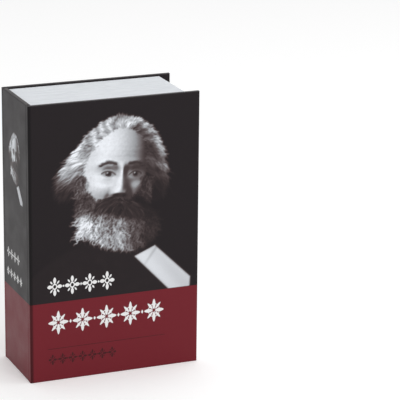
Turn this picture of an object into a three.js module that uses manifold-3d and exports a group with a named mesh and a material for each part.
import * as THREE from "three";
import { mergeVertices } from "three/addons/utils/BufferGeometryUtils.js";
import Module from "manifold-3d";

// Book diversion safe: a hard book cover round a moulded block of false pages,
// which holds a steel box whose hinged lid has a key lock in a sunk channel.
// Millimetres. The book stands on its tail edge, +Z up, with the front cover
// facing -Y and the spine at -X. The origin is the middle of its base.

// Whole book
const bookHeight = 180;
const bookWidth = 113;
const bookDepth = 53;

// Hard cover: grey boards wrapped in a printed sheet that is folded in at the edges
const boardThickness = 2.3;
const wrapThickness = 0.3;
const glueLine = 0.1;
const turnIn = 12;
const headSquare = 1.1;
const foreSquare = 7.1;
const jointGap = 1.4;
const foldSlit = 0.3;
const foldClearance = 0.2;
const pastedownThickness = 0.2;
const pastedownMargin = 3;

// Block of false pages: one moulding, ribbed on its three open sides
const pageWall = 2.5;
const pageFlangeWidth = 6;
const pageFlangeThickness = 1.5;
const coverRestGap = 0.3;
const pageLineCount = 18;
const pageLineDepth = 0.4;
const pageLineShare = 0.34;

// Steel box, folded from sheet, held down by two strips of foam tape
const steelSheet = 0.9;
const boxClearance = 0.3;
const boxTopDrop = 0.4;
const tapeWidth = 26;
const tapeSideGap = 7;
const tapeEndGap = 13.5;

// Hinge: knuckles curled from the box's ledge and from the lid, on one long pin
const pinRadius = 1;
const pinClearance = 0.1;
const pinOverhang = 1.2;
const hingeInset = 6;
const hingeEndGap = 4;
const ledgeGap = 1.6;
const knuckleCount = 9;
const knuckleGap = 0.5;

// Lid: a pressed sheet with a sunk channel along its free edge
const lidSideClearance = 0.4;
const lidSwingClearance = 0.4;
const lidStartGap = 1.6;
const channelWidth = 50;
const channelDepth = 9;
const bendRadius = 1.3;

// Catch rail: an angle welded inside the box, which the lid rests on and the cam hooks under
const railSheet = 1;
const railLip = 6;
const railLeg = 12;
const railLength = 120;
const lidRestGap = 0.3;
const camUnderLipGap = 0.5;

// Lock body and its fixings
const lockFromLidEdge = 28;
const lockHeadRim = 2;
const lockHeadThickness = 2;
const lockHeadChamfer = 0.6;
const shankRadius = 9;
const shankFlatDepth = 1;
const shankLength = 11;
const shankHoleClearance = 0.15;
const seatGap = 0.1;
const washerThickness = 0.8;
const washerRim = 1.8;
const nutThickness = 4;
const nutWall = 2;
const nutChamfer = 0.7;

// Plug: the part that the key turns, with a square tail for the stop washer and the cam
const plugRadius = 6.3;
const plugHeadRim = 0.9;
const plugHeadThickness = 1.6;
const plugHeadSink = 0.2;
const runningClearance = 0.1;
const keywayWidth = 2.2;
const tailSide = 6;
const stopHeight = 1.2;
const stopGap = 0.1;
const stopTabWidth = 3;
const stopTabSink = 0.4;
const stopPlay = 0.25;

// Wafers in the plug, each pushed by a coil spring under its lug
const waferCount = 4;
const waferThickness = 0.9;
const waferPitch = 1.6;
const firstWaferDepth = 0.3;
const waferWidth = 4.4;
const waferLugReach = 2;
const waferLugHeight = 1.4;
const waferPlay = 0.1;
const waferBridge = 1;
const waferSkin = 0.36;
const keywayEndGap = 0.3;
const springRadius = 0.34;
const springWireRadius = 0.11;
const springTurns = 8;
const springEndGap = 0.1;
const keywayPastWafers = 0.3;

// Cam, cranked towards the lid so that its tip runs close under the rail's lip
const camThickness = 1.5;
const camHubRadius = 8;
const camWidth = 12;
const camTipClearance = 0.8;
const camBendRadius = 1.6;
const camNutClearance = 1.2;
const camHoleClearance = 0.1;
const camWasherThickness = 0.7;
const camWasherRadius = 4.2;
const screwRadius = 1.8;
const screwTipWall = 0.7;
const screwHeadRadius = 3.7;
const screwHeadThickness = 2.4;
const screwSlotWidth = 0.9;
const screwSlotDepth = 1.1;

// Modelling values
const weldTolerance = 1e-4;
const cutOverrun = 1;
const roundSides = 32;
const holeSides = 16;
const barrelSides = 16;
const bendSteps = 4;
const springSides = 4;
const springStepsPerTurn = 6;
const hexSides = 6;

// Places that more than one piece uses
const spineFace = -bookWidth / 2;
const foreFace = bookWidth / 2;
const frontFace = -bookDepth / 2;
const backFace = bookDepth / 2;
const headZ = bookHeight / 2;
const coverThickness = boardThickness + 2 * (wrapThickness + glueLine);
const spineFront = frontFace + coverThickness + jointGap;
const spineBack = backFace - coverThickness - jointGap;
const foldReach = (jointGap - foldSlit) / 2;
const foldX = spineFace - foldClearance;
const foldY = spineFront - jointGap / 2;

const pageSpine = spineFace + coverThickness + glueLine;
const pageFore = foreFace - foreSquare;
const pageFront = frontFace + coverThickness + glueLine + pastedownThickness + coverRestGap;
const pageBack = backFace - coverThickness - glueLine;
const pageHead = headZ - headSquare;
const pageRimWidth = pageWall + pageFlangeWidth;

const boxSpine = pageSpine + pageWall + boxClearance;
const boxFore = pageFore - pageWall - boxClearance;
const boxHead = pageHead - pageWall - boxClearance;
const boxTop = pageFront + boxTopDrop;
const boxBottom = pageBack - pageFlangeThickness - glueLine;

const barrelRadius = pinRadius + pinClearance + steelSheet;
const pinX = boxSpine + hingeInset;
const pinY = boxTop + barrelRadius;
const hingeHalf = boxHead - steelSheet - hingeEndGap;
const ledgeEdge = pinX - barrelRadius - ledgeGap;

const lidHalf = boxHead - steelSheet - lidSideClearance;
const lidStart = barrelRadius + lidStartGap;
const channelFloor = -barrelRadius + channelDepth;
const cornerDepth = channelFloor + steelSheet;
const lidReach = boxFore - steelSheet - lidSwingClearance - pinX;
const lidWidth = Math.sqrt(lidReach ** 2 - cornerDepth ** 2);
const channelStart = lidWidth - channelWidth;
const lockX = lidWidth - lockFromLidEdge;

const railWall = boxFore - steelSheet - glueLine;
const railTop = pinY + cornerDepth + lidRestGap;

const plugHeadRadius = plugRadius + plugHeadRim;
const plugFace = plugHeadSink - lockHeadThickness - seatGap;
const washerStart = steelSheet + seatGap;
const nutStart = washerStart + washerThickness + seatGap;
const nutCornerRadius = (shankRadius + nutWall) / Math.cos(Math.PI / hexSides);
const stopWasherRadius = plugRadius - runningClearance;
const stopStart = shankLength + stopGap;
const camStart = shankLength + stopHeight + 2 * stopGap;
const camEnd = camStart + camThickness;
const camArmStart = railTop + railSheet + camUnderLipGap - (pinY + channelFloor);
const camReach = railWall - railSheet - camTipClearance - pinX - lockX;
const camWasherStart = camEnd + seatGap;
const screwSeat = camWasherStart + camWasherThickness + seatGap;
const slotHalfWidth = waferWidth / 2 + waferLugReach + waferPlay;
const slotHalfHeight = Math.sqrt((plugRadius - waferSkin) ** 2 - slotHalfWidth ** 2);
const waferHalfHeight = slotHalfHeight - waferPlay;
const keywayDepth = firstWaferDepth + waferCount * waferPitch + keywayPastWafers;
const screwTip = keywayDepth + screwTipWall + seatGap;

const wasm = await Module();
wasm.setup();

// Turns a closed three.js geometry into a solid that can be joined and cut.
function solid(geometry) {
  const bare = geometry.clone();
  bare.deleteAttribute("normal");
  bare.deleteAttribute("uv");
  const merged = mergeVertices(bare, weldTolerance);
  return new wasm.Manifold(
    new wasm.Mesh({
      numProp: 3,
      vertProperties: merged.attributes.position.array,
      triVerts: merged.index.array,
    }),
  );
}

function joined(...solids) {
  return solids.reduce((sum, next) => sum.add(next));
}

function piece(name, body, material) {
  const { vertProperties, triVerts } = body.getMesh();
  const geometry = new THREE.BufferGeometry();
  geometry.setAttribute("position", new THREE.BufferAttribute(vertProperties, 3));
  geometry.setIndex(new THREE.BufferAttribute(triVerts, 1));
  geometry.computeVertexNormals();
  const mesh = new THREE.Mesh(geometry, material);
  mesh.name = name;
  return mesh;
}

// A block given by its two ends along each axis.
function block([x0, x1], [y0, y1], [z0, z1]) {
  const geometry = new THREE.BoxGeometry(x1 - x0, y1 - y0, z1 - z0);
  geometry.translate((x0 + x1) / 2, (y0 + y1) / 2, (z0 + z1) / 2);
  return solid(geometry);
}

// A span that reaches the same distance each way from the middle.
function about(half) {
  return [-half, half];
}

// A straight bar of the outline in the XY plane, from one height to another.
function standing(outline, [z0, z1], curveSegments = roundSides) {
  const geometry = new THREE.ExtrudeGeometry(outline, {
    depth: z1 - z0,
    bevelEnabled: false,
    curveSegments,
  });
  geometry.translate(0, 0, z0);
  return solid(geometry);
}

// A straight bar of an outline whose own x and y lie along X and Z, from one depth in Y to another.
function inward(outline, [y0, y1], curveSegments = roundSides) {
  const geometry = new THREE.ExtrudeGeometry(outline, {
    depth: y1 - y0,
    bevelEnabled: false,
    curveSegments,
  });
  geometry.rotateX(Math.PI / 2);
  geometry.translate(0, y1, 0);
  return solid(geometry);
}

function disc(radius, [y0, y1], sides = roundSides) {
  const geometry = new THREE.CylinderGeometry(radius, radius, y1 - y0, sides);
  geometry.translate(0, (y0 + y1) / 2, 0);
  return solid(geometry);
}

// A disc whose rim slopes in at one face or the other.
function chamferedDisc(radius, [y0, y1], chamfer, slopeAtStart, sides = roundSides) {
  const profile = [new THREE.Vector2(0, y0)];
  if (slopeAtStart) {
    profile.push(new THREE.Vector2(radius - chamfer, y0), new THREE.Vector2(radius, y0 + chamfer));
    profile.push(new THREE.Vector2(radius, y1));
  } else {
    profile.push(new THREE.Vector2(radius, y0), new THREE.Vector2(radius, y1 - chamfer));
    profile.push(new THREE.Vector2(radius - chamfer, y1));
  }
  profile.push(new THREE.Vector2(0, y1));
  return solid(new THREE.LatheGeometry(profile, sides));
}

// A closed body through a row of rings of points, each ring with as many points as the others.
function loft(rings) {
  const count = rings[0].length;
  const faces = [];
  for (let ring = 0; ring < rings.length - 1; ring += 1) {
    for (let side = 0; side < count; side += 1) {
      const [a, b] = [ring * count + side, ring * count + ((side + 1) % count)];
      faces.push(a, b + count, b, a, a + count, b + count);
    }
  }
  const last = (rings.length - 1) * count;
  for (let side = 1; side < count - 1; side += 1) {
    faces.push(0, side, side + 1, last, last + side + 1, last + side);
  }
  const geometry = new THREE.BufferGeometry();
  geometry.setAttribute("position", new THREE.Float32BufferAttribute(rings.flat(2), 3));
  geometry.setIndex(faces);
  return solid(geometry);
}

function circle(radius) {
  return new THREE.Shape().absarc(0, 0, radius, 0, 2 * Math.PI);
}

function rectangle([x0, x1], [y0, y1]) {
  return new THREE.Shape()
    .moveTo(x0, y0)
    .lineTo(x1, y0)
    .lineTo(x1, y1)
    .lineTo(x0, y1);
}

// A circle with two flats that face along X.
function doubleFlat(radius, halfFlat) {
  const angle = Math.acos(halfFlat / radius);
  return new THREE.Shape()
    .absarc(0, 0, radius, angle, Math.PI - angle)
    .absarc(0, 0, radius, Math.PI + angle, 2 * Math.PI - angle);
}

// The outline of a bent sheet that follows a line of points, with each bend rounded about its middle.
function foldedSheet(points, thickness, radius) {
  const left = (d) => new THREE.Vector2(-d.y, d.x);
  const heading = (i) => points[i + 1].clone().sub(points[i]).normalize();
  const near = [];
  const far = [];
  const station = (at, side) => {
    near.push(at.clone().addScaledVector(side, thickness / 2));
    far.unshift(at.clone().addScaledVector(side, -thickness / 2));
  };
  station(points[0], left(heading(0)));
  for (let i = 1; i < points.length - 1; i += 1) {
    const turn = Math.atan2(heading(i - 1).cross(heading(i)), heading(i - 1).dot(heading(i)));
    const start = points[i].clone();
    start.addScaledVector(heading(i - 1), -radius * Math.tan(Math.abs(turn) / 2));
    const centre = start.clone().addScaledVector(left(heading(i - 1)), radius * Math.sign(turn));
    for (let step = 0; step <= bendSteps; step += 1) {
      const side = left(heading(i - 1)).rotateAround(new THREE.Vector2(), (turn * step) / bendSteps);
      station(centre.clone().addScaledVector(side, -radius * Math.sign(turn)), side);
    }
  }
  station(points.at(-1), left(heading(points.length - 2)));
  return new THREE.Shape([...near, ...far]);
}

function finish(color, roughness, metalness = 0) {
  return new THREE.MeshStandardMaterial({ color, roughness, metalness });
}

const materials = {
  board: finish(0x8d8578, 0.95),
  print: finish(0x221d1f, 0.5),
  paper: finish(0xe6e5e2, 0.9),
  pages: finish(0xe3e6e8, 0.65),
  blackSteel: finish(0x26262a, 0.55, 0.2),
  tape: finish(0xd9d6cc, 0.9),
  zinc: finish(0xc3c8cc, 0.3, 1),
  chrome: finish(0xd5d8da, 0.18, 1),
  brass: finish(0xc2a25a, 0.35, 1),
  springSteel: finish(0xa8abae, 0.35, 1),
};

// Grey boards

function coverBoard(name, faceY, inwards) {
  const near = faceY + inwards * (wrapThickness + glueLine);
  const far = near + inwards * boardThickness;
  const edge = wrapThickness + glueLine;
  const body = block(
    [spineFace + edge, foreFace - edge],
    [Math.min(near, far), Math.max(near, far)],
    about(headZ - edge),
  );
  return piece(name, body, materials.board);
}

function spineBoard() {
  const edge = wrapThickness + glueLine;
  const body = block(
    [spineFace + edge, spineFace + edge + boardThickness],
    [spineFront, spineBack],
    about(headZ - edge),
  );
  return piece("spine_board", body, materials.board);
}

// Printed sheet round one cover board: its face, its edges and the strips folded in on three sides.
// The spine edge has no fold: the sheet runs on over the joint, up to the slit where it bends.
function coverWrap(name, faceY, inwards) {
  const across = (a, b) => {
    const ends = [faceY + inwards * a, faceY + inwards * b];
    return [Math.min(...ends), Math.max(...ends)];
  };
  const skin = block([spineFace, foreFace], across(0, coverThickness), about(headZ));
  const pocket = block(
    [spineFace + wrapThickness, foreFace - wrapThickness],
    across(wrapThickness, coverThickness - wrapThickness),
    about(headZ - wrapThickness),
  );
  const window = block(
    [spineFace + wrapThickness, foreFace - turnIn],
    across(coverThickness / 2, coverThickness + cutOverrun),
    about(headZ - turnIn),
  );
  const joint = block(
    [spineFace, spineFace + wrapThickness],
    across(coverThickness / 2, coverThickness + foldReach),
    about(headZ),
  );
  return piece(name, skin.subtract(pocket).subtract(window).add(joint), materials.print);
}

function spineWrap() {
  const inner = spineFace + coverThickness;
  const skin = block([spineFace, inner], [spineFront, spineBack], about(headZ));
  const pocket = block(
    [spineFace + wrapThickness, inner - wrapThickness],
    [spineFront - cutOverrun, spineBack + cutOverrun],
    about(headZ - wrapThickness),
  );
  const window = block(
    [spineFace + coverThickness / 2, inner + cutOverrun],
    [spineFront - cutOverrun, spineBack + cutOverrun],
    about(headZ - turnIn),
  );
  const joints = block(
    [spineFace, spineFace + wrapThickness],
    [spineFront - foldReach, spineBack + foldReach],
    about(headZ),
  );
  return piece("spine_wrap", skin.subtract(pocket).subtract(window).add(joints), materials.print);
}

function pastedown() {
  const start = frontFace + coverThickness + glueLine;
  const body = block(
    [spineFace + pastedownMargin, foreFace - pastedownMargin],
    [start, start + pastedownThickness],
    about(headZ - pastedownMargin),
  );
  return piece("front_pastedown", body, materials.paper);
}

// Block of false pages

// A block whose fore edge, head and tail are cut by V-shaped lines, level by level from the front.
function linedBlock() {
  const pitch = (pageBack - pageFront) / pageLineCount;
  const levels = [[pageFront, 0]];
  for (let line = 0; line < pageLineCount; line += 1) {
    const middle = pageFront + (line + 0.5) * pitch;
    const half = (pitch * pageLineShare) / 2;
    levels.push([middle - half, 0], [middle, pageLineDepth], [middle + half, 0]);
  }
  levels.push([pageBack, 0]);
  const rings = levels.map(([y, inset]) => [
    [pageSpine, y, inset - pageHead],
    [pageFore - inset, y, inset - pageHead],
    [pageFore - inset, y, pageHead - inset],
    [pageSpine, y, pageHead - inset],
  ]);
  return loft(rings);
}

function pageBlock() {
  const room = block(
    [pageSpine + pageWall, pageFore - pageWall],
    [pageFront - cutOverrun, pageBack - pageFlangeThickness],
    about(pageHead - pageWall),
  );
  const opening = block(
    [pageSpine + pageRimWidth, pageFore - pageRimWidth],
    [pageBack - pageFlangeThickness - cutOverrun, pageBack + cutOverrun],
    about(pageHead - pageRimWidth),
  );
  return piece("page_block", linedBlock().subtract(room).subtract(opening), materials.pages);
}

// Steel box and hinge

// The height range of one hinge knuckle, counted from the tail.
function knuckleSpan(index) {
  const pitch = (2 * hingeHalf) / knuckleCount;
  const start = -hingeHalf + index * pitch;
  return [start + knuckleGap / 2, start + pitch - knuckleGap / 2];
}

// Knuckles about the pin axis, every other one, each with its tab to the sheet that carries it.
function knuckles(first, [tabStart, tabEnd]) {
  const curls = [];
  for (let index = first; index < knuckleCount; index += 2) {
    const span = knuckleSpan(index);
    const tab = block([tabStart, tabEnd], [-barrelRadius, -barrelRadius + steelSheet], span);
    curls.push(standing(circle(barrelRadius), span, barrelSides).add(tab));
  }
  const bore = standing(circle(pinRadius + pinClearance), about(boxHead), holeSides);
  return joined(...curls).subtract(bore);
}

function steelBox() {
  const shell = block([boxSpine, boxFore], [boxTop, boxBottom], about(boxHead));
  const room = block(
    [boxSpine + steelSheet, boxFore - steelSheet],
    [boxTop - cutOverrun, boxBottom - steelSheet],
    about(boxHead - steelSheet),
  );
  const ledge = block(
    [boxSpine, ledgeEdge],
    [boxTop, boxTop + steelSheet],
    about(boxHead - steelSheet / 2),
  );
  const curls = knuckles(0, [-hingeInset, 0]).translate([pinX, pinY, 0]);
  return piece("steel_box", shell.subtract(room).add(ledge).add(curls), materials.blackSteel);
}

function hingePin() {
  const mesh = piece(
    "hinge_pin",
    standing(circle(pinRadius), about(hingeHalf + pinOverhang), barrelSides),
    materials.zinc,
  );
  mesh.position.set(pinX, pinY, 0);
  return mesh;
}

// Angle rail: one leg on the box's fore wall, one lip that reaches in under the lid.
function catchRail() {
  const legX = railWall - railSheet / 2;
  const lipY = railTop + railSheet / 2;
  const line = [
    new THREE.Vector2(railWall - railLip, lipY),
    new THREE.Vector2(legX, lipY),
    new THREE.Vector2(legX, lipY + railLeg),
  ];
  const outline = foldedSheet(line, railSheet, bendRadius);
  return piece("catch_rail", standing(outline, about(railLength / 2)), materials.blackSteel);
}

// Foam tapes, in the opening of the page block's rim, between the box and the back board.
function fixingTape(name, start) {
  const boardInner = backFace - wrapThickness - glueLine - boardThickness;
  const body = block(
    [start, start + tapeWidth],
    [boxBottom + glueLine, boardInner - glueLine],
    about(pageHead - pageRimWidth - tapeEndGap),
  );
  return piece(name, body, materials.tape);
}

// Lid, drawn about the hinge axis

function lidPanel() {
  const topY = -barrelRadius + steelSheet / 2;
  const floorY = channelFloor + steelSheet / 2;
  const webX = channelStart + steelSheet / 2;
  const edgeX = lidWidth - steelSheet / 2;
  const line = [
    new THREE.Vector2(lidStart, topY),
    new THREE.Vector2(webX, topY),
    new THREE.Vector2(webX, floorY),
    new THREE.Vector2(edgeX, floorY),
    new THREE.Vector2(edgeX, -barrelRadius),
  ];
  const sheet = standing(foldedSheet(line, steelSheet, bendRadius), about(lidHalf));
  const sides = [-1, 1].map((side) => {
    const ends = [side * lidHalf, side * (lidHalf - steelSheet)];
    return block(
      [lidStart, channelStart + steelSheet],
      [-barrelRadius, cornerDepth],
      [Math.min(...ends), Math.max(...ends)],
    );
  });
  const curls = knuckles(1, [0, lidStart + steelSheet]);
  const hole = shankHole([channelFloor - cutOverrun, cornerDepth + cutOverrun]);
  const body = joined(sheet, ...sides, curls).subtract(hole.translate([lockX, 0, 0]));
  return piece("lid_panel", body, materials.blackSteel);
}

// Lock, drawn about its own axis, with Y = 0 on the outer face of the channel's floor

function shankBar(grown, span) {
  const outline = doubleFlat(shankRadius + grown, shankRadius - shankFlatDepth + grown);
  return inward(outline, span);
}

function shankHole(span) {
  return shankBar(shankHoleClearance, span);
}

// The end of the shank keeps a raised arc, whose two ends stop the tab of the stop washer.
function lockHousing() {
  const faceY = -lockHeadThickness - seatGap;
  const endY = shankLength + stopHeight;
  const head = chamferedDisc(shankRadius + lockHeadRim, [faceY, -seatGap], lockHeadChamfer, true);
  const shank = shankBar(0, [faceY / 2, endY]);
  const tabAngle = Math.asin((stopTabWidth / 2 + stopPlay) / stopWasherRadius);
  const sweepRadius = 2 * shankRadius;
  const sweep = new THREE.Shape()
    .moveTo(0, 0)
    .lineTo(sweepRadius * Math.cos(tabAngle), -sweepRadius * Math.sin(tabAngle))
    .absarc(0, 0, sweepRadius, -tabAngle, Math.PI / 2 + tabAngle);
  const cuts = [
    inward(sweep, [shankLength, endY + cutOverrun]),
    disc(stopWasherRadius + 2 * runningClearance, [shankLength, endY + cutOverrun]),
    disc(plugRadius + runningClearance, [faceY - cutOverrun, shankLength + cutOverrun]),
    disc(plugHeadRadius + runningClearance, [
      faceY - cutOverrun,
      plugFace + plugHeadThickness + runningClearance,
    ]),
  ];
  return piece("lock_housing", head.add(shank).subtract(joined(...cuts)), materials.chrome);
}

function lockWasher() {
  const span = [washerStart, washerStart + washerThickness];
  const hole = shankHole([span[0] - cutOverrun, span[1] + cutOverrun]);
  const ring = disc(shankRadius + washerRim, span);
  return piece("lock_washer", ring.subtract(hole), materials.zinc);
}

function lockNut() {
  const end = nutStart + nutThickness;
  const hexagon = disc(nutCornerRadius, [nutStart, end], hexSides);
  const rim = chamferedDisc(nutCornerRadius, [nutStart, end], nutChamfer, false);
  const bore = disc(shankRadius + runningClearance, [nutStart - cutOverrun, end + cutOverrun]);
  return piece("lock_nut", hexagon.intersect(rim).subtract(bore), materials.zinc);
}

// What turns with the key, drawn with the cam along +X, which is the locked position

function waferStart(index) {
  return firstWaferDepth + index * waferPitch;
}

function waferSlot(index) {
  const start = waferStart(index);
  return block(
    about(slotHalfWidth),
    [start - waferPlay, start + waferThickness + waferPlay],
    about(slotHalfHeight),
  );
}

function lockPlug() {
  const head = disc(plugHeadRadius, [plugFace, plugFace + plugHeadThickness]);
  const barrel = disc(plugRadius, [plugFace + plugHeadThickness / 2, shankLength]);
  const tail = block(about(tailSide / 2), [shankLength - cutOverrun, camEnd], about(tailSide / 2));
  const keywayHalf = slotHalfHeight - keywayEndGap;
  const cuts = [
    block(about(keywayWidth / 2), [plugFace - cutOverrun, keywayDepth], about(keywayHalf)),
    disc(screwRadius + runningClearance, [keywayDepth + screwTipWall, camEnd + cutOverrun]),
  ];
  for (let index = 0; index < waferCount; index += 1) {
    cuts.push(waferSlot(index));
  }
  return piece("lock_plug", joined(head, barrel, tail).subtract(joined(...cuts)), materials.brass);
}

function wafer(index) {
  const start = waferStart(index);
  const span = [start, start + waferThickness];
  const reach = waferWidth / 2 + waferLugReach;
  const plate = block(about(waferWidth / 2), span, about(waferHalfHeight));
  const lug = block([0, reach], span, [waferHalfHeight - waferLugHeight, waferHalfHeight]);
  const window = block(
    about(keywayWidth / 2 + waferPlay),
    [span[0] - cutOverrun, span[1] + cutOverrun],
    about(waferHalfHeight - waferBridge),
  );
  return piece(`wafer_${index + 1}`, plate.add(lug).subtract(window), materials.brass);
}

// A coil spring as one unbroken tube, wound about a line along Z.
function coil(radius, wire, turns, [z0, z1]) {
  const steps = turns * springStepsPerTurn;
  const rings = [];
  for (let step = 0; step <= steps; step += 1) {
    const angle = (2 * Math.PI * step) / springStepsPerTurn;
    const height = z0 + wire + ((z1 - z0 - 2 * wire) * step) / steps;
    const ring = [];
    for (let side = 0; side < springSides; side += 1) {
      const round = (2 * Math.PI * side) / springSides;
      const out = radius + wire * Math.cos(round);
      ring.push([out * Math.cos(angle), out * Math.sin(angle), height + wire * Math.sin(round)]);
    }
    rings.push(ring);
  }
  return loft(rings);
}

function waferSpring(index) {
  const span = [
    springEndGap - slotHalfHeight,
    waferHalfHeight - waferLugHeight - springEndGap,
  ];
  const body = coil(springRadius, springWireRadius, springTurns, span);
  const mesh = piece(`wafer_spring_${index + 1}`, body, materials.springSteel);
  mesh.position.set((waferWidth + waferLugReach) / 2, waferStart(index) + waferThickness / 2, 0);
  return mesh;
}

function squareHole([y0, y1]) {
  const half = tailSide / 2 + camHoleClearance;
  return block(about(half), [y0 - cutOverrun, y1 + cutOverrun], about(half));
}

function stopWasher() {
  const span = [stopStart, stopStart + stopHeight - stopGap];
  const tab = block([0, shankRadius - stopTabSink], span, about(stopTabWidth / 2));
  const body = disc(stopWasherRadius, span).add(tab).subtract(squareHole(span));
  return piece("stop_washer", body, materials.zinc);
}

function lockCam() {
  const hubY = camStart + camThickness / 2;
  const armY = camArmStart + camThickness / 2;
  const riserX = nutCornerRadius + camNutClearance + camThickness / 2;
  const line = [
    new THREE.Vector2(-camHubRadius, hubY),
    new THREE.Vector2(riserX, hubY),
    new THREE.Vector2(riserX, armY),
    new THREE.Vector2(camReach, armY),
  ];
  const bent = standing(foldedSheet(line, camThickness, camBendRadius), about(camHubRadius));
  const tipX = camReach - camWidth / 2;
  const span = [camArmStart - cutOverrun, camEnd + cutOverrun];
  const plan = joined(
    disc(camHubRadius, span),
    inward(rectangle([0, tipX], about(camWidth / 2)), span),
    disc(camWidth / 2, span).translate([tipX, 0, 0]),
  );
  const body = bent.intersect(plan).subtract(squareHole([camStart, camEnd]));
  return piece("lock_cam", body, materials.zinc);
}

function camWasher() {
  const span = [camWasherStart, camWasherStart + camWasherThickness];
  const holeSpan = [span[0] - cutOverrun, span[1] + cutOverrun];
  const hole = disc(screwRadius + runningClearance, holeSpan, barrelSides);
  return piece("cam_washer", disc(camWasherRadius, span).subtract(hole), materials.zinc);
}

// Pan head screw with a cross recess.
function camScrew() {
  const top = screwSeat + screwHeadThickness;
  const head = chamferedDisc(screwHeadRadius, [screwSeat, top], screwHeadThickness / 3, false);
  const shaft = disc(screwRadius, [screwTip, screwSeat + screwHeadThickness / 2], barrelSides);
  const depth = [top - screwSlotDepth, top + cutOverrun];
  const half = screwHeadRadius / 2;
  const recess = block(about(half), depth, about(screwSlotWidth / 2));
  const crossed = block(about(screwSlotWidth / 2), depth, about(half));
  return piece("cam_screw", head.add(shaft).subtract(recess.add(crossed)), materials.zinc);
}

// Assembly

function moved(group, x, y, z) {
  group.position.set(x, y, z);
  return group;
}

function lockPlugGroup() {
  const group = new THREE.Group();
  group.rotation.y = -Math.PI / 2; // unlocked: the cam lies along the lid, towards the head
  group.add(lockPlug(), stopWasher(), lockCam(), camWasher(), camScrew());
  for (let index = 0; index < waferCount; index += 1) {
    group.add(wafer(index), waferSpring(index));
  }
  return group;
}

function lidGroup() {
  const lock = moved(new THREE.Group(), lockX, channelFloor, 0);
  lock.add(lockHousing(), lockWasher(), lockNut(), lockPlugGroup());
  return moved(new THREE.Group().add(lidPanel(), lock), pinX, pinY, 0);
}

function frontCoverGroup() {
  const pieces = new THREE.Group().add(
    coverBoard("front_board", frontFace, 1),
    coverWrap("front_wrap", frontFace, 1),
    pastedown(),
  );
  return moved(new THREE.Group().add(moved(pieces, -foldX, -foldY, 0)), foldX, foldY, 0);
}

function bookSafe() {
  const book = moved(new THREE.Group(), 0, 0, headZ);
  book.add(
    coverBoard("back_board", backFace, -1),
    coverWrap("back_wrap", backFace, -1),
    spineBoard(),
    spineWrap(),
    pageBlock(),
    steelBox(),
    hingePin(),
    catchRail(),
    fixingTape("spine_side_tape", pageSpine + pageRimWidth + tapeSideGap),
    fixingTape("fore_side_tape", pageFore - pageRimWidth - tapeSideGap - tapeWidth),
    frontCoverGroup(),
    lidGroup(),
  );
  return new THREE.Group().add(book);
}

export default bookSafe();
